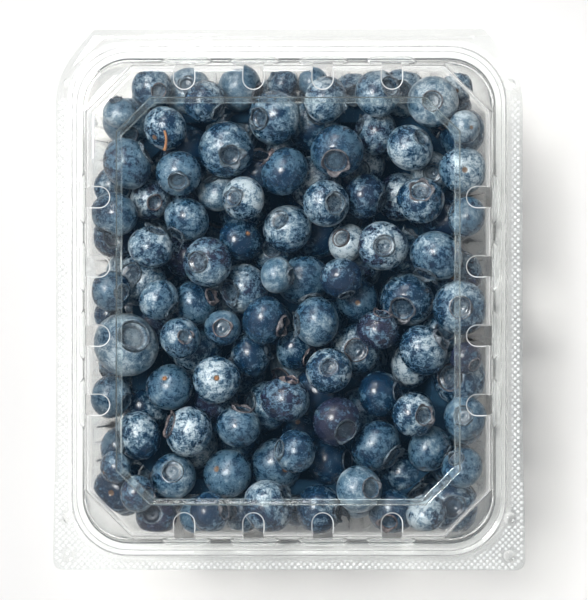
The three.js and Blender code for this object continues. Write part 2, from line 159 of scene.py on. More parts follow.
class Heap:
    """Many small meshes gathered into one, each with a value for every attribute that is named."""

    def __init__(self, *attributes):
        self.points = []
        self.faces = []
        self.values = {name: [] for name in attributes}
        self.count = 0

    def add(self, points, faces, **values):
        self.faces += [tuple(self.count + v for v in face) for face in faces]
        self.points.append(points)
        self.count += len(points)
        for name, value in values.items():
            self.values[name].append(np.broadcast_to(value, len(points)))

    def object(self, name):
        made = mesh_object(name, np.concatenate(self.points), self.faces)
        for key, values in self.values.items():
            attribute = made.data.attributes.new(key, "FLOAT", "POINT")
            attribute.data.foreach_set("value", np.concatenate(values).astype(np.float32))
        made.data.shade_smooth()
        return made


# ------------ formed sheets


def level(x, y, z, leg, bulge, bend=SHARP_BEND):
    """One level of a sheet: a rectangle, 2x by 2y, with corners that cut off a leg along each side,
    straight at bulge 0 and round at bulge 1. The profile bends over a length, bend, on each side of
    the level. Lengths are in millimetres, apart from z and bend."""
    return np.array([x * MM, y * MM, z, leg * MM, bulge, bend])


def ring(at):
    """A level's outline, anticlockwise seen from above."""
    x, y, z, leg, bulge = at[:5]
    points = []
    for sx, sy in ((1, 1), (-1, 1), (-1, -1), (1, -1)):
        for step in range(CORNER_STEPS + 1):
            share = step / CORNER_STEPS
            if sx != sy:
                share = 1 - share
            turn = share * math.pi / 2
            across_x = bulge * math.cos(turn) + (1 - bulge) * (1 - share)
            across_y = bulge * math.sin(turn) + (1 - bulge) * share
            points.append((sx * (x - leg + leg * across_x), sy * (y - leg + leg * across_y), z))
    return points


def rounded(levels, steps=5):
    """The levels with every bend of the profile rounded off, as far as its two arms allow."""
    made = [levels[0]]
    for before, here, after in zip(levels, levels[1:], levels[2:]):
        arms = [np.hypot(*(other - here)[[0, 2]]) for other in (before, after)]
        cut = min(here[5], 0.48 * min(arms))
        start = here + (before - here) * cut / arms[0]
        end = here + (after - here) * cut / arms[1]
        for step in range(steps + 1):
            t = step / steps
            made.append((1 - t) ** 2 * start + 2 * t * (1 - t) * here + t * t * end)
    made.append(levels[-1])
    return made


def offset(levels, side):
    """The sheet's other face: each level moved by the thickness, square to the profile, to the right
    of its direction for side 1 and to the left for side -1."""
    made = []
    for before, here, after in zip([levels[0], *levels], levels, [*levels[1:], levels[-1]]):
        along = [v[[0, 2]] for v in (here - before, after - here) if np.hypot(*v[[0, 2]]) > 1e-9]
        along = [v / np.hypot(*v) for v in along]
        bisector = sum(along) / np.hypot(*sum(along))
        reach = side * SHEET / max(bisector @ along[0], 0.5)
        dx, dz = bisector[1] * reach, -bisector[0] * reach
        bulge = here[4]
        leg = here[3] + dx * (2 - math.sqrt(2) + (math.sqrt(2) - 1) * bulge)
        made.append(np.array([here[0] + dx, here[1] + dx, here[2] + dz, leg, bulge, here[5]]))
    return made


def sheet_object(name, levels, side):
    """A closed sheet over a run of levels, from its outer lip in to the last level, closed flat. side
    is 1 where the levels are its lower face and -1 where they are its upper face."""
    count = 4 * (CORNER_STEPS + 1)
    points = [p for face in (levels, offset(levels, side)) for at in face for p in ring(at)]
    second = len(levels) * count
    upper, lower = (0, second) if side < 0 else (second, 0)
    faces = band(lower, upper, count)
    for start in range(0, second - count, count):
        faces += band(upper + start, upper + start + count, count)
        faces += band(lower + start + count, lower + start, count)
    last = np.arange(second - count, second)
    caps = [tuple((upper + last).tolist()), tuple((lower + last[::-1]).tolist())]
    return mesh_object(name, points, flipped(faces) + caps)


def wall_at(z, foot, top):
    """The level of a straight wall at a height between two of its levels."""
    return foot + (top - foot) * (z - foot[2]) / (top[2] - foot[2])


# ------------ solids for cutting


def hull_object(name, points):
    """The convex hull of some points."""
    mesh = bmesh.new()
    for point in points:
        mesh.verts.new(point)
    bmesh.ops.convex_hull(mesh, input=mesh.verts)
    made = mesh_object(name, [], [])
    mesh.to_mesh(made.data)
    mesh.free()
    return made


def prism_object(name, outline, low, high, upper=None):
    """An outline, anticlockwise from above, made into a prism, which may end in another outline."""
    count = len(outline)
    points = [(x, y, low) for x, y in outline] + [(x, y, high) for x, y in upper or outline]
    caps = [tuple(range(count))[::-1], tuple(range(count, 2 * count))]
    return mesh_object(name, points, caps + flipped(band(0, count, count)))


def combine(target, parts, operation):
    """Adds the parts to the target, or cuts them from it, with one Boolean on a collection."""
    collection = bpy.data.collections.new("cutters")
    for part in parts:
        bpy.context.scene.collection.objects.unlink(part)
        collection.objects.link(part)
    boolean = target.modifiers.new("combine", "BOOLEAN")
    boolean.operation = operation
    boolean.operand_type = "COLLECTION"
    boolean.collection = collection
    boolean.solver = "MANIFOLD"
    evaluated = target.evaluated_get(bpy.context.evaluated_depsgraph_get())
    target.data = bpy.data.meshes.new_from_object(evaluated)
    target.modifiers.clear()
    for part in parts:
        bpy.data.objects.remove(part)
    bpy.data.collections.remove(collection)
    return target


# ------------ pressed ribs

RIB_STEPS = 10


def side_places(counts, pitch):
    """The side of the pack and the place along it of each rib or slot of four equal rows."""
    rows = [(side, counts[side % 2]) for side in range(4)]
    return [(side, (k - (count - 1) / 2) * pitch) for side, count in rows for k in range(count)]


def rib_points(wall, rib, span, side, along, near, shrink):
    """Points of one rib's block on a wall, from near out to its rounded crown, smaller by shrink."""
    foot, top = wall
    spin = Matrix.Rotation(side * math.pi / 2, 3, "Z")
    half, rise = rib["half"] - shrink, rib["depth"] - shrink
    crown = []
    for step in range(RIB_STEPS + 1):
        share = 1 - 2 * step / RIB_STEPS
        crown.append((half * share, rise * (1 - abs(share) ** rib["fullness"])))
    points = []
    for profile, inset in (([(-half, near), (half, near)], 0), (crown, rib["slope"])):
        for z in (span[0] + shrink + inset, span[1] - shrink - inset):
            out = wall_at(z, foot, top)[side % 2]
            points += [spin @ Vector((out + stand, along + place, z)) for place, stand in profile]
    return points


def press_ribs(sheet, wall, rib, span, places):
    """Ribs pressed outwards from a wall: blocks added outside, then hollowed from within."""
    for operation, near, shrink in (("UNION", -SHEET / 2, 0), ("DIFFERENCE", -2 * SHEET, SHEET)):
        blocks = [rib_points(wall, rib, span, *place, near, shrink) for place in places]
        combine(sheet, [hull_object("rib", block) for block in blocks], operation)
    return sheet


# ------------ flange and knurl


def bezier(a, b, c, d, steps=10):
    """Points along a cubic curve, without its first point."""
    a, b, c, d = (np.array(p) for p in (a, b, c, d))
    shares = (step / steps for step in range(1, steps + 1))
    weights = (((1 - t) ** 3, 3 * t * (1 - t) ** 2, 3 * t * t * (1 - t), t**3) for t in shares)
    return [tuple(wa * a + wb * b + wc * c + wd * d) for wa, wb, wc, wd in weights]


def flange_outline():
    """The flange's outer outline, anticlockwise from the middle of its front edge."""
    side, front, wide = FLANGE_HALF, FLANGE_FRONT, FLANGE_HALF + FLANGE_FLARE
    corner = np.array((wide, -front))
    start, end = corner - (FRONT_CORNER, 0), corner + (0, FRONT_CORNER)
    right = [(0, -front), tuple(start)]
    right += bezier(start, (start + 2 * corner) / 3, (end + 2 * corner) / 3, end)
    flare = (side, FLARE_FROM)
    right += bezier(end, (wide, FLARE_PULL[0] - front), (side, FLARE_FROM - FLARE_PULL[1]), flare)
    right.append((side, FOLD_CORNER))
    bend = (FOLD_HALF + FOLD_PULL[1], FOLD_Y - FOLD_PULL[2])
    right += bezier(right[-1], (side, FOLD_CORNER + FOLD_PULL[0]), bend, (FOLD_HALF, FOLD_Y))
    return right + [(-x, y) for x, y in right[:0:-1]]


def flange_object(name, z, hole):
    """A flat flange with its underside at z and a hole the shape of a level."""
    flange = prism_object(name, flange_outline(), z, z + SHEET)
    opening = prism_object("opening", [p[:2] for p in ring(hole)], z - SHEET, z + 2 * SHEET)
    return combine(flange, [opening], "DIFFERENCE")


def inside_polygon(points, outline):
    """Which of the points lie inside an outline."""
    inside = np.zeros(len(points), bool)
    for (x0, y0), (x1, y1) in zip([outline[-1], *outline], outline):
        if y0 != y1:
            crosses = (points[:, 1] < y0) != (points[:, 1] < y1)
            edge = x0 + (points[:, 1] - y0) * (x1 - x0) / (y1 - y0)
            inside ^= crosses & (points[:, 0] < edge)
    return inside


def knurl_places():
    """Centres of the raised dots: staggered rows on the flange, outside its rim bead."""
    pitch, row = DOT["pitch"], DOT["row"]
    steps = range(-math.ceil(FOLD_Y / row), math.ceil(FOLD_Y / row))
    places = np.array([(i * pitch + pitch / 2 * (j % 2), j * row) for j in steps for i in steps])
    margin = DOT["radius"] + KNURL_MARGIN
    grown = places * (1 + margin / np.array([FLANGE_HALF, FLANGE_FRONT]))
    bead = LID_LEVELS[1].copy()
    bead[[0, 1, 3]] += margin
    outline = [p[:2] for p in ring(bead)]
    keep = inside_polygon(grown, flange_outline()) & ~inside_polygon(places, outline)
    for x, y, radius, _ in button_places():
        keep &= np.hypot(places[:, 0] - x, places[:, 1] - y) > radius + margin
    return places[keep & (places[:, 1] < KNURL_END)]


def domes_object(name, places, radius, height, z, around=8, rings=2):
    """One mesh of equal low domes that don't touch, each closed at its foot."""
    points = [(0, 0, height)]
    for i in range(1, rings + 1):
        lean = math.pi / 2 * i / rings
        points += [*circle(radius * math.sin(lean), turns(around), height * math.cos(lean))]
    points += [(x, y, -FOOT) for x, y, _ in points[-around:]]
    foot = tuple(range(len(points) - around, len(points)))[::-1]
    domes = Heap()
    for x, y in places:
        domes.add(np.array(points) + (x, y, z), [*fan(0, 1, around), *bands(1, rings + 1, around), foot])
    return domes.object(name)


def button_places():
    """Place, radius and height of each snap button and pip."""
    knobs = [(sx, sy, BUTTON) for sx in (1, -1) for sy in (1, -1)] + [(sx, 1, PIP) for sx in (1, -1)]
    return [(sx * knob["x"], sy * knob["y"], knob["radius"], knob["height"]) for sx, sy, knob in knobs]


# ------------ tray and lid

TRAY_LEVELS = [
    level(59.4, 69.3, RIM_Z - SHEET, 15.4, 1),
    level(57.4, 67.3, RIM_Z - SHEET, 14.4, 1, SOFT_BEND),
    level(57.0, 66.9, RIM_Z + 0.8 * MM, 14.0, 1, SOFT_BEND),
    level(55.7, 65.6, RIM_Z + 0.8 * MM, 12.7, 1, SOFT_BEND),
    level(55.3, 65.2, RIM_Z - 1 * MM, 12.3, 1, SOFT_BEND),
    level(47.0, 56.6, 3.2 * MM, 9.6, 1),
    level(46.3, 55.9, 1 * MM, 9.4, 1, SOFT_BEND),
    level(44.9, 54.5, 0, 8.8, 0.9, SOFT_BEND),
    level(42.9, 52.5, 0, 8.6, 0.3),
    level(41.9, 51.5, 2.2 * MM, 8.4, 0.1),
    level(40.9, 50.5, 2.2 * MM, 8.0, 0.1),
]
TRAY_WALL = (TRAY_LEVELS[5], TRAY_LEVELS[4])
FLOOR_Z = TRAY_LEVELS[-1][2] + SHEET

LID_LEVELS = [
    level(60.0, 70.1, FLANGE_Z + SHEET, 16.0, 1),
    level(58.9, 69.0, FLANGE_Z + SHEET, 15.6, 1, SOFT_BEND),
    level(58.5, 68.6, LEDGE_Z + 0.5 * MM, 15.3, 1, SOFT_BEND),
    level(57.7, 67.8, LEDGE_Z + 0.5 * MM, 14.6, 1, SOFT_BEND),
    level(57.2, 67.2, LEDGE_Z, 14.0, 1, SOFT_BEND),
    level(55.3, 64.6, LEDGE_Z, 12.3, 1),
    level(54.9, 64.0, STEP_Z - 0.1 * MM, 12.0, 1),
    level(54.8, 63.9, STEP_Z, 13.4, 0),
    level(53.5, 62.3, BAND_Z - 1.3 * MM, 12.0, 0, SOFT_BEND),
    level(52.2, 61.0, BAND_Z, 11.2, 0, SOFT_BEND),
    level(45.3, 53.7, BAND_Z, 8.9, 0, PANEL_BEND),
    level(44.2, 52.6, PANEL_Z, 8.6, 0, PANEL_BEND),
    level(43.2, 51.6, PANEL_Z, 8.0, 0),
]
LID_STEP_WALL = (LID_LEVELS[5], LID_LEVELS[6])
LID_WALL = (LID_LEVELS[7], LID_LEVELS[8])
SLOT_PLACES = side_places(SLOT_COUNTS, SLOT_PITCH)


def slot_outline(side, along, grow):
    """A vent slot seen from above, square at its outer end and round at its inner end."""
    half = SLOT_WIDTH / 2
    wide = half + grow
    leans = [math.pi / 2 + math.pi * step / 12 for step in range(13)]
    arch = [(half + wide * math.cos(lean), wide * math.sin(lean)) for lean in leans]
    spin = Matrix.Rotation(side * math.pi / 2, 2)
    near = SLOT_NEAR[side % 2]
    outline = [(SLOT_REACH, -wide), (SLOT_REACH, wide), *arch]
    return [tuple(spin @ Vector((x + near, y + along))) for x, y in outline]


def slot_cutters():
    """Cutters for the vent slots: the slot itself, and the slanting edge that its punch leaves."""
    slots, edges = [], []
    for place in SLOT_PLACES:
        plain, wide = slot_outline(*place, 0), slot_outline(*place, SLOT_EDGE)
        slots.append(prism_object("slot", plain, STEP_Z + 0.7 * MM, BAND_Z + 2 * MM))
        edges.append(prism_object("edge", plain, BAND_Z - SHEET - OVERLAP, BAND_Z + OVERLAP, wide))
    return slots, edges


def fold_ridge():
    """The low round ridge along the fold at the back of the lid's flange."""
    y, half, foot = FOLD_RIDGE["y"], FOLD_RIDGE["half"], FLANGE_Z + SHEET
    points = []
    for x, narrow in ((FOLD_RIDGE["reach"], 0), (FOLD_RIDGE["reach"] - 1 * MM, 1)):
        for step in range(9):
            turn = math.pi * step / 8
            rise = narrow * FOLD_RIDGE["height"] * math.sin(turn)
            points += [(sx * x, y + half * math.cos(turn), foot + rise) for sx in (1, -1)]
        points += [(sx * x, y + sy * half, foot - FOOT) for sx in (1, -1) for sy in (1, -1)]
    return hull_object("ridge", points)


def make_tray():
    tray = sheet_object("tray_sheet", rounded(TRAY_LEVELS), 1)
    flange = flange_object("flange", RIM_Z - SHEET, level(58.4, 68.3, 0, 14.9, 1))
    combine(tray, [flange], "UNION")
    return press_ribs(tray, TRAY_WALL, FLUTE, FLUTE_SPAN, side_places(FLUTE_COUNTS, FLUTE_PITCH))


def make_lid():
    lid = sheet_object("lid_sheet", rounded(LID_LEVELS), -1)
    top = FLANGE_Z + SHEET
    parts = [flange_object("flange", FLANGE_Z, level(59.4, 69.5, 0, 15.8, 1)), fold_ridge()]
    for x, y, radius, height in button_places():
        parts.append(domes_object("button", [(x, y)], radius, height, top, around=24, rings=5))
    combine(lid, parts, "UNION")
    press_ribs(lid, LID_STEP_WALL, LUG, (LEDGE_Z - SHEET / 2, STEP_Z), SLOT_PLACES)
    for cutters in slot_cutters():
        combine(lid, cutters, "DIFFERENCE")
    dots = domes_object("dots", knurl_places(), DOT["radius"], DOT["height"], top)
    return combine(lid, [dots], "UNION")


# ------------ packing the berries

# The berries lie where they do in the solid: the same seeded draws, counted in millimetres.
BERRY_MEAN = 13.6
BERRY_SPREAD = 2.2
HEAP_SEED = 4217
TRIES = 300
REFINEMENTS = 3
GIVE_UP_AFTER = 40
PULL = 0.1
WALL_GAP = 1.15
LOWEST = FLOOR_Z / MM + CLEARANCE / MM
CEILING = round(PANEL_Z / MM - 0.95, 3)
TOP_LAYER_DEPTH = 22

# The dark bowl inside the heap, painted shade for the shadowed depths between the berries: how far in
# from the room's walls and how thick its own wall is, and the heights of its hollow's floor and of its rim.
CORE_INSET = 11
CORE_WALL = 4
CORE_TOP = 24
CORE_RIM = 40

# Berries added along the walls: the places tried for each radius, how far from a wall they may lie,
# and how far they may press into their neighbours.
GAP_TRIES = 60000
GAP_RADII = (6.4, 5.8, 5.2, 4.6)
GAP_DEPTH = 6
GAP_PRESS = 0.9

# Berries against the lid: x, y and diameter in millimetres; how far right and up of the middle its
# near end shows, as a share of its radius; which end that is; and its bloom, from bare to pale.
CROWN, STEM = "crown", "stem"
TOP_BERRIES = [
    (-43.6, -11.7, 18.1, 0.35, 0.35, CROWN, 0.85),
    (-12.1, 27.4, 12.3, -0.5, 0.05, CROWN, 0.8),
    (-21.7, 10.4, 13.9, -0.45, 0, CROWN, 0.55),
    (10.0, 26.1, 13.3, 0.5, 0, CROWN, 0.6),
    (35.3, 26.9, 13.3, 0, 0.45, CROWN, 0.55),
    (25.2, 14.7, 13.9, 0.05, 0, CROWN, 0.6),
    (-29.4, 34.1, 12.8, 0, -0.45, CROWN, 0.55),
    (-26.8, -34.9, 14.4, -0.9, 0.3, CROWN, 0.6),
    (10.8, -18.6, 12.8, 0, 0.2, CROWN, 0.55),
    (-19.3, -21.0, 13.3, 0.05, 0.1, STEM, 0.6),
    (12.9, -32.2, 13.9, 0.45, -0.45, CROWN, 0.15),
    (36.1, -13.1, 14.4, 0.8, 0.5, CROWN, 0.6),
    (-0.4, 19.4, 13.9, -0.4, 0.4, CROWN, 0.6),
    (-6.3, -5.1, 13.3, 0.9, -0.3, CROWN, 0.2),
    (33.4, -30.4, 12.3, 0.55, 0, CROWN, 0.5),
    (18.8, -50.3, 13.3, 0.6, 0.1, CROWN, 0.85),
    (-32.1, -23.2, 13.3, -0.2, 0.45, STEM, 0.55),
    (-13.5, -33.6, 12.8, 0.2, 0.95, CROWN, 0.55),
    (1.7, -40.2, 12.3, -0.9, 0.1, CROWN, 0.5),
    (14.0, 6.1, 12.3, 0.3, -0.9, CROWN, 0.2),
    (-31.0, -47.1, 12.8, 0, 0.3, CROWN, 0.6),
    (-3.1, 6.9, 10.1, 0.95, 0, CROWN, 0.85),
    (-17.7, -7.2, 10.1, 0, 0, CROWN, 0.5),
    (23.8, 55.5, 13.3, 0.6, 0.3, CROWN, 0.8),
    (-13.2, 16.5, 12.3, 0.45, 0.33, STEM, 0.15),
    (20.4, 28.2, 12.8, 0.9, -0.3, CROWN, 0.15),
    (15.6, 15.7, 10.7, -0.4, 0.3, CROWN, 0.85),
    (32.4, 40.9, 13.3, 0.55, 0.45, CROWN, 0.7),
    (-40.4, -36.2, 13.9, -0.9, -0.3, CROWN, 0.45),
    (37.7, -39.7, 13.3, 0.9, -0.4, CROWN, 0.55),
    (-36.9, 14.3, 12.8, 0.3, 0.9, CROWN, 0.75),
    (-10.3, -14.4, 12.3, 0.95, 0.2, CROWN, 0.25),
    (24.4, -25.0, 13.3, 0.9, 0.1, CROWN, 0.15),
    (-0.9, -26.4, 13.9, 0.2, 0.95, CROWN, 0.4),
]


class Draws:
    """Seeded random numbers from 0 to 1."""

    def __init__(self, seed):
        self.state = seed

    def __call__(self):
        self.state = (self.state * 1664525 + 1013904223) % 2**32
        return self.state / 2**32


def in_mm(at):
    return np.round(at[:4] / MM, 4)


def room_at(z):
    """The room for the berries at a height: half lengths and corner radius, clear of tray and lid."""
    tray, lid = ([in_mm(at) for at in wall] for wall in (TRAY_WALL, LID_WALL))
    below = z < RIM_Z / MM
    made = []
    for i in (0, 1, 3):
        slope = [(top[i] - foot[i]) / (top[2] - foot[2]) for foot, top in (tray, lid)]
        spans = [foot[i] + (z - foot[2]) * rise for (foot, _), rise in zip((tray, lid), slope)]
        made.append(np.where(below, *spans) - WALL_GAP)
    return made


def outside(x, y, z):
    """How far points lie outside the room's outline at their heights; negative inside."""
    room_x, room_y, corner = room_at(z)
    qx = np.abs(x) - (room_x - corner)
    qy = np.abs(y) - (room_y - corner)
    past = np.sqrt(np.maximum(qx, 0) ** 2 + np.maximum(qy, 0) ** 2)
    return past + np.minimum(np.maximum(qx, qy), 0) - corner


def lowest_in_walls(x, y, r):
    """The lowest heights at which a berry fits between the walls, NaN where it never does."""
    low = np.full_like(x, LOWEST + r)
    high = np.full_like(x, RIM_Z / MM - 1)
    free = outside(x, y, low) <= -r
    never = outside(x, y, high) > -r
    lowest = low
    for _ in range(16):
        middle = (low + high) / 2
        out = outside(x, y, middle) > -r
        low = np.where(out, middle, low)
        high = np.where(out, high, middle)
    return np.where(free, lowest, np.where(never, np.nan, high))


def hits_chamfer(x, y, z, r):
    """Whether berries reach the crescent steps or the chamfered walls in the lid's corners."""
    wall = in_mm(LID_WALL[1])
    room = wall[0] + wall[1] - wall[3] - math.sqrt(2) * (r + WALL_GAP)
    return (z + r > STEP_Z / MM - WALL_GAP) & (np.abs(x) + np.abs(y) > room)


def stack_offsets(x, y, r, placed):
    """How far from each placed berry's height one at (x, y) touches it; NaN where they pass."""
    room = (r + placed[:, 3]) ** 2 - (x[:, None] - placed[:, 0]) ** 2 - (y[:, None] - placed[:, 1]) ** 2
    return np.sqrt(np.where(room > 0, room, np.nan))


def hang_heights(x, y, r, top):
    """The highest places under the lid that the top berries leave free, NaN where there is none."""
    z = np.full_like(x, CEILING - r)
    if len(top):
        z = np.fmin(z, np.fmin.reduce(top[:, 2] - stack_offsets(x, y, r, top), axis=1))
    taken = z < CEILING - r - TOP_LAYER_DEPTH
    return np.where(taken | (outside(x, y, z) > -r) | hits_chamfer(x, y, z, r), np.nan, z)


def rest_heights(x, y, r, top, loose):
    """Where a berry comes to rest on the walls, the floor and the loose berries, or NaN."""
    z = lowest_in_walls(x, y, r)
    if len(loose):
        resting = np.fmax.reduce(loose[:, 2] + stack_offsets(x, y, r, loose), axis=1)
        z = np.where(np.isnan(z), z, np.fmax(z, resting))
    blocked = np.any(z[:, None] > top[:, 2] - stack_offsets(x, y, r, top), axis=1)
    return np.where(blocked | (z > CEILING - r) | hits_chamfer(x, y, z, r), np.nan, z)


def find_place(draws, r, heights, rise):
    """The best of the places tried for a berry, in rounds that close in on the best so far. The cost
    of a place grows towards the back, and by rise for each millimetre of height."""
    best = None
    centre = (0, 0)
    reach = in_mm(TRAY_WALL[1])[:2]
    for step in range(REFINEMENTS + 1):
        tries = np.array([draws() for _ in range(2 * TRIES)]).reshape(-1, 2)
        x = centre[0] + reach[0] * (2 * tries[:, 0] - 1)
        y = centre[1] + reach[1] * (2 * tries[:, 1] - 1)
        z = heights(x, y, r)
        cost = np.where(np.isnan(z), np.inf, PULL * y + rise * z)
        k = int(np.argmin(cost))
        if cost[k] < (best[0] if best else np.inf):
            best = (cost[k], x[k], y[k], z[k])
        if best is None:
            return None
        centre = best[1:3]
        reach = (r / 2**step, r / 2**step)
    return (*best[1:], r)


def add_berries(draws, placed, heights, rise):
    """Adds berries until a number of them in a row find no room."""
    misses = 0
    while misses < GIVE_UP_AFTER:
        r = (BERRY_MEAN + BERRY_SPREAD * (2 * draws() - 1)) / 2
        place = find_place(draws, r, lambda x, y, r: heights(x, y, r, np.array(placed)), rise)
        if place:
            placed.append(place)
        misses = 0 if place else misses + 1


def fill_gaps(berries):
    """Smaller berries in the gaps that the others leave along the walls of tray and lid."""
    random = np.random.default_rng(HEAP_SEED)
    reach = in_mm(TRAY_WALL[1])[:2]
    placed = berries
    for r in GAP_RADII:
        low, high = (*-reach, LOWEST + r), (*reach, CEILING - r)
        x, y, z = random.uniform(low, high, (GAP_TRIES, 3)).T
        out = outside(x, y, z)
        near = (out < -1.02 * r) & (out > -r - GAP_DEPTH) & ~hits_chamfer(x, y, z, r)
        for place in np.stack([x, y, z], -1)[near]:
            gaps = np.linalg.norm(placed[:, :3] - place, axis=1) - placed[:, 3]
            if gaps.min() > r - GAP_PRESS:
                placed = np.vstack([placed, (*place, r)])
    return placed[len(berries):]


def fill_punnet():
    """The top layer of berries and the loose ones below it, each as x, y, z and radius."""
    draws = Draws(HEAP_SEED)
    top = []
    for x, y, diameter, *_ in TOP_BERRIES:
        r = diameter / 2
        z = hang_heights(*np.array([[x], [y]], float), r, np.array(top))[0]
        top.append((x, y, z, r))
    add_berries(draws, top, hang_heights, -1)
    ceiling = np.array(top)
    loose = []
    add_berries(draws, loose, lambda x, y, r, placed: rest_heights(x, y, r, ceiling, placed), 1)
    loose = np.array(loose)
    return ceiling, np.vstack([loose, fill_gaps(np.vstack([ceiling, loose]))])


# ------------ shape of a berry

FLATNESS = 0.88
CRATER = 0.41  # mean angle from the crown's middle to its rim
CRATER_DEPTH, CRATER_SLOPE = 0.15, 0.13  # depths are shares of the radius, slopes are angles
RIM_HEIGHT, RIM_SLOPE = 0.03, 0.1
PIT_DEPTH, PIT_SLOPE = 0.05, 0.09  # in the middle of the crater
SCAR_DEPTH, SCAR_SLOPE, SCAR_ANGLE = 0.055, 0.16, 0.2  # at the stem end
UNEVEN = (0.035, 0.03)  # round the middle and from end to end
CROWN_LOBES = 5
CROWN_REACH = 1.06  # how far out the crown may stand, as a share of the berry's radius
SEED_LOOKS = 31
FINE_DEPTH = 12  # mm below the lid down to which berries get the finer mesh
GRIDS = {"berries_top": (38, 24, 60), "berries_below": (22, 15, 30)}  # steps round, down, round crown
BLOOMS = {0.1: 0.18, 0.4: 0.22, 0.55: 0.28, 0.6: 0.2, 0.8: 0.12}  # each bloom and its share
STUB_SHARE = 0.12
STALK = (-32.9, 42.6, 5.4)  # x, y and length in millimetres
STALK_BOW = 0.5
STALK_RADII = 0.5 * np.array([1, 0.85, 0.7, 0.65, 0.65, 0.75, 0.6])


def berry_grid(around, down):
    """Angles of a berry's vertices, down from its crown and round it, closer together at its ends."""
    share = np.arange(1, down) / down
    theta = math.pi * (share - 0.09 * np.sin(2 * math.pi * share))
    theta = np.concatenate([[0], np.repeat(theta, around), [math.pi]])
    return theta, np.concatenate([[0], np.tile(turns(around), down - 1), [0]])


def smooth(share):
    share = np.clip(share, 0, 1)
    return share * share * (3 - 2 * share)


def berry_surface(theta, phi, crater, lumps):
    """Points of a berry of radius 1 with its crown at +Z, all inside the unit sphere."""
    sway = lumps[0] * np.cos(2 * phi + lumps[1]) + lumps[2] * np.cos(3 * phi + lumps[3])
    wide = 1 - UNEVEN[0] - UNEVEN[0] * np.clip(sway, -1, 1) * np.sin(theta) ** 2
    tall = FLATNESS * (1 - UNEVEN[1] * (1 + np.sin(lumps[4] + 1.5 * theta)))
    hollow = CRATER_DEPTH * smooth((crater - theta) / CRATER_SLOPE)
    hollow -= RIM_HEIGHT * np.exp(-(((theta - crater) / RIM_SLOPE) ** 2))
    hollow += PIT_DEPTH * np.exp(-((theta / PIT_SLOPE) ** 2))
    scar = SCAR_DEPTH * smooth((SCAR_ANGLE - (math.pi - theta)) / SCAR_SLOPE)
    z = tall * np.cos(theta) - hollow + scar
    return circle(wide * np.sin(theta), phi, z)


def turned_to(axis, spin):
    """A rotation that takes +Z to an axis, after a spin about +Z, as a 3 by 3 array."""
    turn = Vector((0, 0, 1)).rotation_difference(Vector(axis)).to_matrix()
    return np.array(turn @ Matrix.Rotation(spin, 3, "Z"))


def crown_strip(crater, random, around):
    """The withered crown round a crater, for a berry of radius 1: a closed strip with five lobes,
    each as tall as chance has it, that lean out or curl in."""
    share = (np.arange(around) / around * CROWN_LOBES + random.random()) % CROWN_LOBES
    k = share.astype(int)
    tall = random.uniform(0, 1.3, CROWN_LOBES)
    lean = np.clip(random.uniform(-0.08, 0.16) + random.uniform(-0.07, 0.07, CROWN_LOBES), -0.1, 0.2)
    lobe = tall[k] * (1 - np.abs(2 * (share - k) - 1) ** 1.4)
    ragged = random.uniform(-0.018, 0.018, around)
    tip = lean[k] * lobe
    height = 0.15 * lobe * (1 - 2.5 * np.maximum(lean[k], 0)) + ragged
    base = FLATNESS * math.cos(crater)
    radius = math.sin(crater)
    rows = [
        (radius - 0.040, base - 0.06),
        (radius - 0.028 + 0.4 * tip, base + 0.5 * height),
        (radius - 0.008 + tip, base + height),
        (radius + 0.010 + tip, base + height - 0.006),
        (radius + 0.022 + 0.5 * tip, base + 0.4 * height),
        (radius + 0.040, base - 0.06),
    ]
    points = np.concatenate([circle(reach, turns(around), z) for reach, z in rows])
    faces = bands(0, len(rows), around) + band((len(rows) - 1) * around, 0, around)
    size = np.linalg.norm(points, axis=1, keepdims=True)
    return points * np.minimum(1, CROWN_REACH / size), faces


def berry_axis(right, up, end):
    """The direction of the crown for a berry whose crown or stem end shows at a place on its disc."""
    toward = Vector((right, up, math.sqrt(max(0.0, 1 - right * right - up * up))))
    return toward.normalized() if end == CROWN else -toward.normalized()


def berry_looks(top_count, count):
    """For each berry: the direction of its crown, and its bloom. The first are listed; of the rest of
    the top layer some turn their crown or stem end up, and the others lie at random."""
    random = np.random.default_rng(SEED_LOOKS)
    looks = [(berry_axis(*row[3:6]), row[6]) for row in TOP_BERRIES]
    while len(looks) < count:
        kind = random.random()
        turn = random.uniform(0, 2 * math.pi)
        reach = random.uniform(0, 0.75) if kind < 0.5 else random.uniform(0.88, 1)
        end = STEM if kind < 0.16 else CROWN
        if len(looks) >= top_count:
            reach = random.uniform(0, 1)
            end = STEM if random.random() < 0.5 else CROWN
        axis = berry_axis(reach * math.cos(turn), reach * math.sin(turn), end)
        looks.append((axis, random.choice(list(BLOOMS), p=list(BLOOMS.values()))))
    return looks


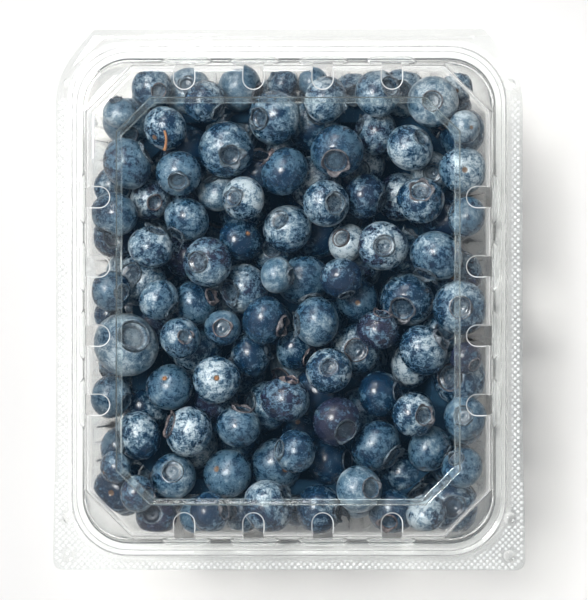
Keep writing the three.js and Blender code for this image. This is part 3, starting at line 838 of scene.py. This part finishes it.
def make_berries(top, loose):
    """The heap's pieces: the berries near the lid, which have a finer mesh, and those below them,
    their crowns, and stubs of stem on a few."""
    random = np.random.default_rng(SEED_LOOKS + 1)
    heaps = {name: Heap("bloom", "tint", "end") for name in GRIDS}
    crowns = Heap("tint")
    stubs = Heap("tint")
    looks = berry_looks(len(top), len(top) + len(loose))
    for i, ((x, y, z, r), (axis, bloom)) in enumerate(zip([*top, *loose], looks)):
        name = "berries_top" if z + r > CEILING - FINE_DEPTH else "berries_below"
        around, down, crown_steps = GRIDS[name]
        theta, phi = berry_grid(around, down)
        lumps = random.uniform(-1, 1, 5) * (1, math.pi, 0.6, math.pi, math.pi)
        crater = CRATER * random.uniform(0.85, 1.2)
        turn = turned_to(axis, random.uniform(0, 2 * math.pi)).T * (r - 0.02) * MM
        place = np.array([x, y, z]) * MM
        body = berry_surface(theta, phi, crater, lumps)
        end = np.where(theta < 1, theta * CRATER / crater, theta)
        faces = closed_faces(down - 1, around)
        heaps[name].add(body @ turn + place, faces, bloom=bloom, tint=random.random(), end=end)
        strip, faces = crown_strip(crater, random, crown_steps)
        crowns.add(strip @ turn + place, faces, tint=random.random())
        if random.random() < STUB_SHARE or (i < len(TOP_BERRIES) and TOP_BERRIES[i][5] == STEM):
            stub, faces = stub_arrays()
            stubs.add(stub @ turn + place, faces, tint=random.random())
    stubs.add(*stalk_arrays(np.concatenate([top, loose]), *STALK), tint=0.5)
    pieces = [heap.object(name) for name, heap in heaps.items()]
    return pieces + [crowns.object("berry_crowns"), stubs.object("stem_stubs")]


def stub_arrays(around=12):
    """The end of the stem left in a berry of radius 1, on its end away from the crown."""
    phi = turns(around)
    ragged = 0.012 * np.sin(3 * phi) + 0.01 * np.cos(2 * phi)
    rows = [(0.055, -0.79, 0), (0.080, -0.83, 0), (0.072, -0.865, 1), (0.03, -0.855, 1)]
    rings = [circle(reach, phi, z - rough * ragged) for reach, z, rough in rows]
    points = np.concatenate([[(0, 0, -0.79)], *rings, [(0, 0, -0.862)]])
    return points, closed_faces(len(rows), around)


def tube_arrays(path, radii, around=8):
    """A closed tube along a path, with a radius for each of its points."""
    points = [path[0]]
    for before, at, after, radius in zip([path[0], *path], path, [*path[1:], path[-1]], radii):
        points += [*(at + circle(radius, turns(around), 0) @ turned_to(after - before, 0).T)]
    return np.array([*points, path[-1]]), flipped(closed_faces(len(path), around))


def stalk_arrays(berries, x, y, length):
    """A loose stalk that lies front to back on the berries, a little bowed, just under the lid."""
    share = np.linspace(-0.5, 0.5, len(STALK_RADII))
    px, py = x + STALK_BOW * (1 - 4 * share * share), y + length * share
    under = np.nanmax(berries[:, 2] + stack_offsets(px, py, 0, berries))
    z = np.full_like(px, min(under, CEILING - 2 * STALK_RADII[0]) + STALK_RADII[0])
    return tube_arrays(np.stack([px, py, z], -1) * MM, STALK_RADII * MM)


def core_block(name, inset, low, high):
    """A block the shape of the room for the berries, set in from its walls."""
    points = []
    for z in (low, high):
        x, y, corner = (float(v) for v in room_at(np.array(z)))
        points += ring(level(x - inset, y - inset, z * MM, corner, 0))
    return hull_object(name, points)


def make_shade_bowl():
    """The dark bowl inside the heap: painted shade in place of the shadowed depths between the berries, which
    also keeps light from showing through it.
    """
    core = core_block("painted_shade_bowl", CORE_INSET, FLOOR_Z / MM + CORE_INSET, CORE_RIM)
    return combine(core, [core_block("hollow", CORE_INSET + CORE_WALL, CORE_TOP, CORE_RIM + 1)], "DIFFERENCE")


# ------------ materials

GLASSY = (0.975, 0.982, 0.974, 1)
BLUISH = (0.84, 0.94, 0.945, 1)

# The finishes of the sheets: name, clarity, roughness, share of light let through, and colour.
FINISHES = [
    ("clear PET", 1.0, 0.03, 0.965, GLASSY),
    ("faintly hazy PET", 0.99, 0.04, 0.96, GLASSY),
    ("creased PET", 0.94, 0.05, 0.93, BLUISH),
    ("hazy PET", 0.87, 0.04, 0.89, GLASSY),
    # drawn PET: partly the real whitening of sheet drawn thin over the bead and shoulder, partly a painted
    # highlight in place of the white lines that light leaves along them
    ("drawn PET with painted highlight", 0.86, 0.12, 0.84, GLASSY),
    # frosted PET: partly the real frost of the embossed dots and the punched slot edges, partly a painted
    # glint in place of the bright points and rims that the lamps light on them
    ("frosted PET with painted glint", 0.3, 0.2, 0.84, GLASSY),
]
CLEAR, FAINT, CREASED, HAZY, DRAWN_AND_HIGHLIT, FROSTED_AND_GLINTING = range(len(FINISHES))


class Nodes:
    """A node tree, with short ways to add and link its nodes."""

    def __init__(self, tree):
        self.nodes = tree.nodes
        self.links = tree.links

    def feed(self, socket, value):
        """Links a node's output to a socket, or sets the socket to a plain value."""
        if isinstance(value, bpy.types.NodeSocket):
            self.links.new(value, socket)
        else:
            socket.default_value = value

    def set(self, node, **inputs):
        for key, value in inputs.items():
            self.feed(node.inputs[key.replace("_", " ")], value)
        return node

    def add(self, kind, **inputs):
        return self.set(self.nodes.new("ShaderNode" + kind), **inputs)

    def place(self, kind="Object"):
        return self.add("TexCoord").outputs[kind]

    def attribute(self, name):
        node = self.add("Attribute")
        node.attribute_name = name
        return node.outputs["Fac"]

    def noise(self, scale, detail=3, roughness=0.5, distortion=0.0):
        node = self.add("TexNoise", Vector=self.place(), Scale=scale, Detail=detail)
        return self.set(node, Roughness=roughness, Distortion=distortion).outputs["Fac"]

    def math(self, operation, *values):
        node = self.add("Math")
        node.operation = operation
        for socket, value in zip(node.inputs, values):
            self.feed(socket, value)
        return node.outputs[0]

    def total(self, *values):
        made = values[0]
        for value in values[1:]:
            made = self.math("ADD", made, value)
        return made

    def spread(self, value, width):
        """A value from 0 to 1 as one from -width / 2 to width / 2."""
        return self.math("MULTIPLY", self.math("SUBTRACT", value, 0.5), width)

    def between(self, value, low, high, start=0.0, end=1.0):
        """A value rescaled smoothly from low..high to start..end."""
        node = self.add("MapRange", Value=value, From_Min=low, From_Max=high, To_Min=start, To_Max=end)
        node.interpolation_type = "SMOOTHSTEP"
        return node.outputs[0]

    def mix(self, share, first, second):
        """One colour or the other, or between them."""
        node = self.add("Mix")
        node.data_type = "RGBA"
        for index, value in ((0, share), (6, first), (7, second)):
            self.feed(node.inputs[index], value)
        return node.outputs[2]


class Shader(Nodes):
    """The nodes of a new material."""

    def __init__(self, name):
        self.material = bpy.data.materials.new(name)
        self.material.use_nodes = True
        super().__init__(self.material.node_tree)
        self.surface = self.nodes["Principled BSDF"]

    def paint(self, **inputs):
        self.set(self.surface, **inputs)

    def bump(self, height, distance, strength=1.0):
        node = self.add("Bump", Height=height, Distance=distance, Strength=strength)
        self.paint(Normal=node.outputs["Normal"])


def clear_pet(name, clarity, roughness, passing, colour):
    """Clear formed sheet. A lower clarity makes it frosted, and passing is the share of the lamps'
    light that goes straight through each of its faces."""
    shader = Shader(name)
    shader.paint(Base_Color=colour, Roughness=roughness, IOR=1.55, Transmission_Weight=clarity)
    shader.bump(shader.noise(90, 2), 0.00004, 0.6)
    clear = shader.add("BsdfTransparent", Color=(passing, passing, 0.995 * passing, 1))
    mixed = shader.add("MixShader", Fac=shader.add("LightPath").outputs["Is Shadow Ray"])
    shader.feed(mixed.inputs[1], shader.surface.outputs[0])
    shader.feed(mixed.inputs[2], clear.outputs[0])
    shader.set(shader.nodes["Material Output"], Surface=mixed.outputs[0])
    return shader.material


BARE_SKIN = (0.002, 0.014, 0.036, 1)
PURPLE_SKIN = (0.010, 0.011, 0.026, 1)
MIDDLE_BLOOM = (0.030, 0.072, 0.112, 1)
PALE_BLOOM = (0.270, 0.315, 0.340, 1)
CRATER_SKIN = (0.022, 0.036, 0.050, 1)
CRATER_RIM = (0.012, 0.012, 0.016, 1)
SCAR = (0.10, 0.055, 0.028, 1)

# How the bloom is rubbed off, in patches, scratches and grain: a noise's scale, detail, roughness and
# distortion, the values of it that are bare and covered, and how much it counts.
RUBBED = [
    ((130, 3, 0.6, 0.3), (0.36, 0.64), 0.7),
    ((620, 4, 0.75, 0.4), (0.34, 0.66), 0.9),
    ((2400, 2, 0.7, 0), (0.3, 0.7), 0.5),
]


def berry_skin():
    """Dark skin under a waxy bloom that is rubbed off in patches and scratches."""
    shader = Shader("berry skin")
    bloom = shader.attribute("bloom")
    tint = shader.attribute("tint")
    angle = shader.attribute("end")
    rubs = [shader.spread(shader.between(shader.noise(*noise), *at), width) for noise, at, width in RUBBED]
    crinkled = shader.math("FRACT", shader.math("MULTIPLY", tint, 5))
    amount = shader.between(crinkled, 0.0, 1.0, 0.55, 1.3)
    cover = shader.total(bloom, shader.math("MULTIPLY", shader.total(*rubs), amount), -0.12)
    skin = shader.mix(shader.between(tint, 0.6, 0.95), BARE_SKIN, PURPLE_SKIN)
    thin = shader.between(cover, 0.0, 0.55)
    thick = shader.between(cover, 0.5, 1.3)
    colour = shader.mix(thick, shader.mix(thin, skin, MIDDLE_BLOOM), PALE_BLOOM)
    crater = shader.between(angle, CRATER - 0.02, CRATER - 0.16)
    colour = shader.mix(shader.math("MULTIPLY", crater, 0.65), colour, CRATER_SKIN)
    rim = shader.math("MULTIPLY", crater, shader.between(angle, CRATER - 0.20, CRATER - 0.08))
    colour = shader.mix(rim, colour, CRATER_RIM)
    scar = shader.between(angle, math.pi - 0.15, math.pi - 0.09)
    colour = shader.mix(scar, colour, SCAR)
    roughness = shader.between(cover, 0.0, 1.0, 0.24, 0.4)
    shader.paint(Base_Color=colour, Roughness=roughness, Specular_IOR_Level=0.55)
    shader.bump(shader.total(shader.noise(700, 4, 0.65), shader.spread(cover, 0.15)), 0.00012, 0.4)
    return shader.material


def crown_skin():
    """Withered crown: blue-black to brown."""
    shader = Shader("berry crown")
    tint = shader.between(shader.attribute("tint"), 0.5, 1.1)
    patches = shader.between(shader.noise(1100, 4, 0.7), 0.35, 0.65)
    dark = shader.mix(patches, (0.005, 0.009, 0.016, 1), (0.070, 0.098, 0.120, 1))
    brown = shader.mix(patches, (0.014, 0.011, 0.014, 1), (0.130, 0.092, 0.086, 1))
    shader.paint(Base_Color=shader.mix(tint, dark, brown), Roughness=0.6)
    shader.bump(shader.noise(2500, 2), 0.0001, 0.5)
    return shader.material


def stem_wood():
    """Dry orange-brown stem."""
    shader = Shader("berry stem")
    colour = shader.mix(shader.noise(1200), (0.30, 0.12, 0.035, 1), (0.10, 0.055, 0.03, 1))
    shader.paint(Base_Color=colour, Roughness=0.7)
    shader.bump(shader.noise(2500, 2), 0.0001, 0.5)
    return shader.material


def painted_shade_material():
    """Painted shade: a very dark blue for what shows between the berries, in place of the shadowed depths of
    the heap.
    """
    shader = Shader("painted-shade bowl")
    colour = shader.mix(shader.noise(200), (0.005, 0.019, 0.038, 1), (0.010, 0.031, 0.056, 1))
    shader.paint(Base_Color=colour, Roughness=0.8, Specular_IOR_Level=0.05)
    return shader.material


def floor_paint():
    shader = Shader("floor")
    shader.paint(Base_Color=(0.820, 0.804, 0.788, 1), Roughness=0.9)
    return shader.material


def beyond(face, at):
    """Whether a face lies outside the outline of a level."""
    x, y, _ = face.center
    qx, qy = abs(x) - (at[0] - at[3]), abs(y) - (at[1] - at[3])
    if min(qx, qy) < 0:
        return max(qx, qy) > at[3]
    return (math.hypot(qx, qy) if at[4] else qx + qy) > at[3]


def between_levels(face, outer, inner):
    """Whether a face lies between the outlines of two levels, the outer one given first."""
    return beyond(face, inner) and not beyond(face, outer)


def on_outline(face, at):
    """Whether a face lies in the crease along a level's outline."""
    reach = np.array([CREASE_REACH, CREASE_REACH, 0, 0, 0, 0])
    return between_levels(face, at + reach, at - reach)


def on_slot_rims(centres):
    """Which of the points lie on the cut edge of a vent slot."""
    on = np.zeros(len(centres), bool)
    for place in SLOT_PLACES:
        narrow, wide = (slot_outline(*place, reach) for reach in SLOT_RIM)
        on |= inside_polygon(centres, wide) & ~inside_polygon(centres, narrow)
    return on


def frost_tray(tray):
    """Gives the tray's flange and bead a slight haze, the second of its two materials."""
    for face in tray.data.polygons:
        face.material_index = int(beyond(face, TRAY_LEVELS[4]))


def lid_finish(face):
    """The finish of one of the lid's faces, apart from the rims of its slots."""
    z = face.center.z
    dot = 0.01 * MM < z - FLANGE_Z - SHEET < DOT["height"]
    # The knurl dots: real frost, whitened further as a painted glint.
    if dot and beyond(face, LID_LEVELS[0]):
        return FROSTED_AND_GLINTING
    # The rim bead and the dome's shoulder: drawn whitening, made stronger as a painted highlight.
    if between_levels(face, LID_LEVELS[1], LID_LEVELS[4]):
        return DRAWN_AND_HIGHLIT
    if z > LID_LEVELS[8][2] - SHEET and between_levels(face, LID_LEVELS[8], LID_LEVELS[9]):
        return DRAWN_AND_HIGHLIT
    if beyond(face, LID_LEVELS[1]):
        return HAZY
    if on_outline(face, LID_LEVELS[10]) or on_outline(face, LID_LEVELS[11]):
        return CREASED
    return FAINT if beyond(face, LID_LEVELS[10]) else CLEAR


def frost_lid(lid):
    """Gives each part of the lid its finish: the flange is hazy, its bead and the dome's shoulder are drawn
    and whitened further as a painted highlight, the panel's edges creased, and the dots and the cut edges of
    the slots frosted and whitened further as a painted glint."""
    faces = lid.data.polygons
    rims = on_slot_rims(np.array([face.center[:2] for face in faces]))
    for face, rim in zip(faces, rims):
        # Slot rims above the step: real frost, whitened further as a painted glint.
        face.material_index = FROSTED_AND_GLINTING if rim and face.center.z > STEP_Z else lid_finish(face)


# ------------ building the scene

SHARP_FROM = 32  # degrees between two faces of the sheets


def show(piece, body, slot, materials, *nodes, sharp=None):
    """Gives a piece its materials, sets it on a body, and lets it stand for solids of the frame."""
    piece.data.materials.clear()
    for material in materials:
        piece.data.materials.append(material)
    if sharp is not None:
        piece.data.shade_smooth()
        piece.data.set_sharp_from_angle(angle=math.radians(sharp))
    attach(piece, body)
    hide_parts(*nodes)


def build_pack():
    finishes = [clear_pet(*finish) for finish in FINISHES]
    tray, lid = make_tray(), make_lid()
    hazy = [finishes[CLEAR], finishes[HAZY]]
    show(tray, "tray", "clear_sheet", hazy, "tray", sharp=SHARP_FROM)
    show(lid, "lid", "clear_sheet", finishes, "lid", "lid_dome", "lid_panel", sharp=SHARP_FROM)
    frost_tray(tray)
    frost_lid(lid)


def build_heap():
    # The last piece is the dark bowl of painted shade.
    pieces = [*make_berries(*fill_punnet()), make_shade_bowl()]
    skin = berry_skin()
    for piece, material in zip(pieces, (skin, skin, crown_skin(), stem_wood(), painted_shade_material())):
        show(piece, "tray", "berries", [material], "berries")


# Lamps: degrees from straight up and anticlockwise from +X, diameter and power.
LAMPS = {"key": (23, 148, 0.26, 9), "back": (50, 104, 0.42, 3.6)}
LAMP_DISTANCE = 1.1
ROOM_LIGHT = (0.57, 0.57, 0.565, 1)
OVERHEAD_DARK = (0.04, 0.08, 0.13, 1)
OVERHEAD = (0.62, 0.97)  # how much of a direction points up, where the dark begins and is full
FLOOR_HALF = 2.5
CAMERA_PLACE = Vector((0.013, 0, 0.9))
CAMERA_TARGET = Vector((0.00135, 0.00027, 0.044))
CAMERA_LENS = 190.4


def hang_lamp(name, tilt, turn, size, watts):
    """A round soft lamp that faces the punnet."""
    lamp = bpy.data.lights.new(name, "AREA")
    lamp.shape = "DISK"
    lamp.size = size
    lamp.energy = watts
    tilt, turn = math.radians(tilt), math.radians(turn)
    toward = Vector((math.sin(tilt) * math.cos(turn), math.sin(tilt) * math.sin(turn), math.cos(tilt)))
    hung = new_object(name, lamp)
    hung.location = toward * LAMP_DISTANCE + Vector((0, 0, FLANGE_Z))
    hung.rotation_euler = toward.to_track_quat("Z", "Y").to_euler()


def light_scene():
    """Two soft lamps, upper left and behind, in a white room that is dark straight above."""
    for name, lamp in LAMPS.items():
        hang_lamp(name, *lamp)
    world = bpy.data.worlds.new("room")
    world.use_nodes = True
    room = Nodes(world.node_tree)
    up = room.add("SeparateXYZ", Vector=room.place("Generated")).outputs["Z"]
    colour = room.mix(room.between(up, *OVERHEAD), ROOM_LIGHT, OVERHEAD_DARK)
    room.set(room.nodes["Background"], Color=colour)
    bpy.context.scene.world = world


def lay_floor():
    corners = [(sx * FLOOR_HALF, sy * FLOOR_HALF, 0) for sx, sy in ((-1, -1), (1, -1), (1, 1), (-1, 1))]
    floor = mesh_object("floor", corners, [(0, 1, 2, 3)])
    floor.data.materials.append(floor_paint())


def set_camera():
    """The camera nearly straight above, with the punnet's back up in the picture."""
    lens = bpy.data.cameras.new("camera")
    lens.lens = CAMERA_LENS
    camera = new_object("camera", lens)
    back = (CAMERA_PLACE - CAMERA_TARGET).normalized()
    right = Vector((0, 1, 0)).cross(back).normalized()
    turn = Matrix((right, back.cross(right), back)).transposed()
    camera.matrix_world = Matrix.Translation(CAMERA_PLACE) @ turn.to_4x4()
    bpy.context.scene.camera = camera


build_pack()
build_heap()
light_scene()
lay_floor()
set_camera()
bpy.context.scene.view_settings.view_transform = "Standard"
